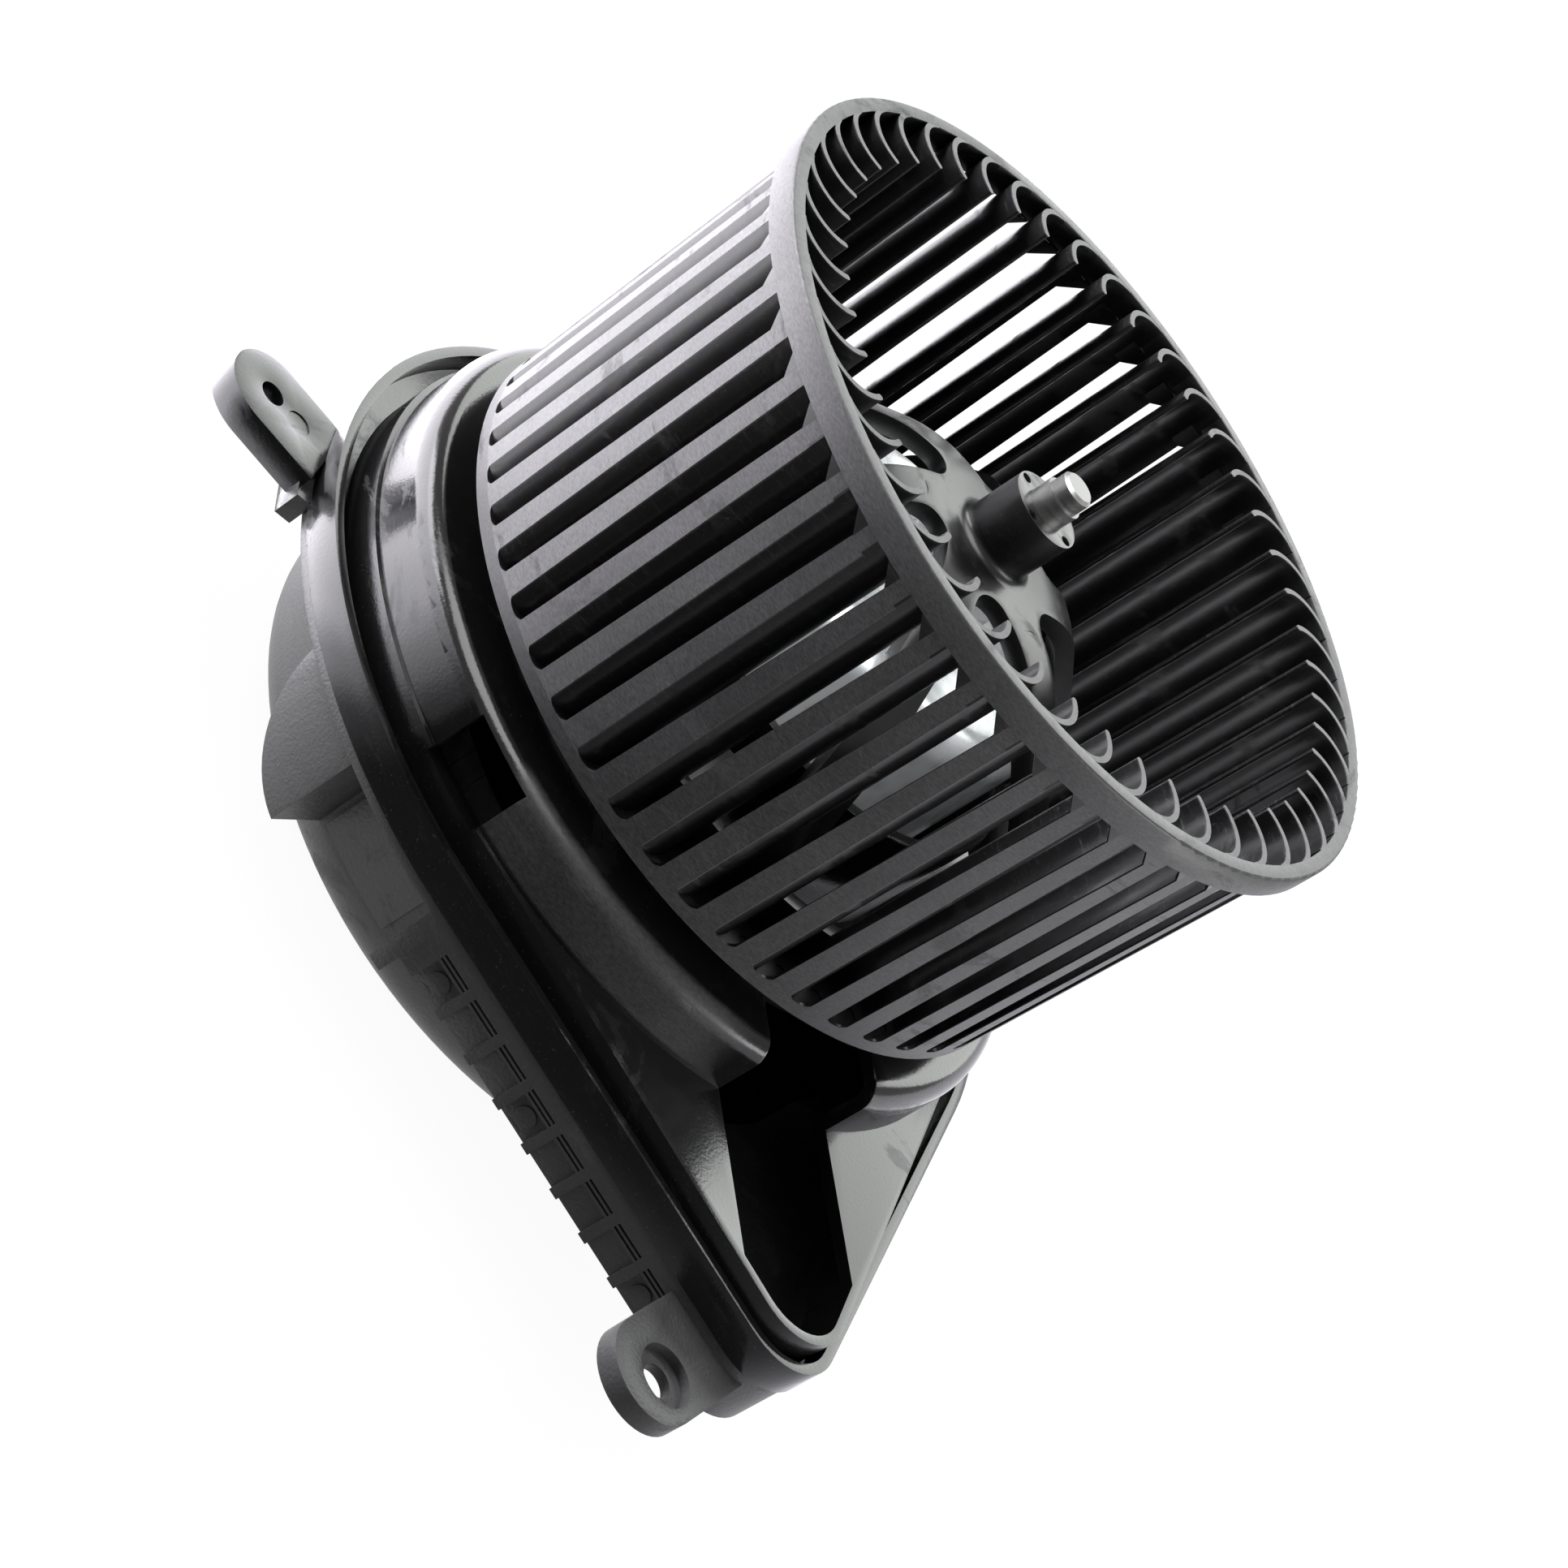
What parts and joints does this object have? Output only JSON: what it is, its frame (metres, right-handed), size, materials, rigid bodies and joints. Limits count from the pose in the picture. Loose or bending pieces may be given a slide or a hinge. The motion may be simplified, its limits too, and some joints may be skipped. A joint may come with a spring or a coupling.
{
  "type": "blower motor wheel",
  "caption": "Heater blower: forward-curved centrifugal wheel on a motor shaft, in a teardrop mounting flange with a moulded rear cover.",
  "frame": {"origin": "fan axis, in the plane of the platform that carries the round collar", "axes": "+Z along the fan axis towards the wheel's open end, -Y towards the tip of the teardrop flange"},
  "size_m": [0.1827, 0.219, 0.1311],
  "materials": {
    "wheel_plastic": "satin black moulded polypropylene with fine scratches",
    "housing_plastic": "satin black moulded polypropylene",
    "cover_plastic": "black moulded polypropylene with a fine spark-eroded grain",
    "zinc_steel": "zinc-plated drawn steel",
    "bright_steel": "ground steel",
    "lamination_steel": "stacked steel laminations",
    "copper": "enamelled copper wire",
    "bronze": "sintered bronze",
    "ferrite": "dark grey sintered ferrite",
    "carbon": "pressed carbon",
    "rubber": "matt black rubber",
    "card_plastic": "brown phenolic moulding"
  },
  "bodies": {
    "housing": {"bearing_retainer": "bright_steel", "brush_1": "carbon", "brush_2": "carbon", "brush_card": "card_plastic", "brush_holder_1": "copper", "brush_holder_2": "copper", "brush_spring_1": "bright_steel", "brush_spring_2": "bright_steel", "carrier_flange": "housing_plastic", "choke_1": "copper", "choke_2": "copper", "front_bearing": "bronze", "isolator_1": "rubber", "isolator_2": "rubber", "isolator_3": "rubber", "magnet_1": "ferrite", "magnet_2": "ferrite", "motor_can": "zinc_steel", "rear_bearing": "bronze", "rear_cover": "cover_plastic"},
    "rotor": {"armature_core": "lamination_steel", "armature_windings": "copper", "commutator": "copper", "front_thrust_washer": "card_plastic", "motor_shaft": "bright_steel", "wheel_back_ring": "wheel_plastic", "wheel_blades": "wheel_plastic", "wheel_hub": "wheel_plastic", "wheel_rim": "wheel_plastic"}
  },
  "joints": [
    {"name": "wheel_spin", "type": "hinge", "parent": "housing", "child": "rotor", "pos_m": [0, 0, 0.027], "axis": [0, 0, 1], "continuous": true}
  ]
}
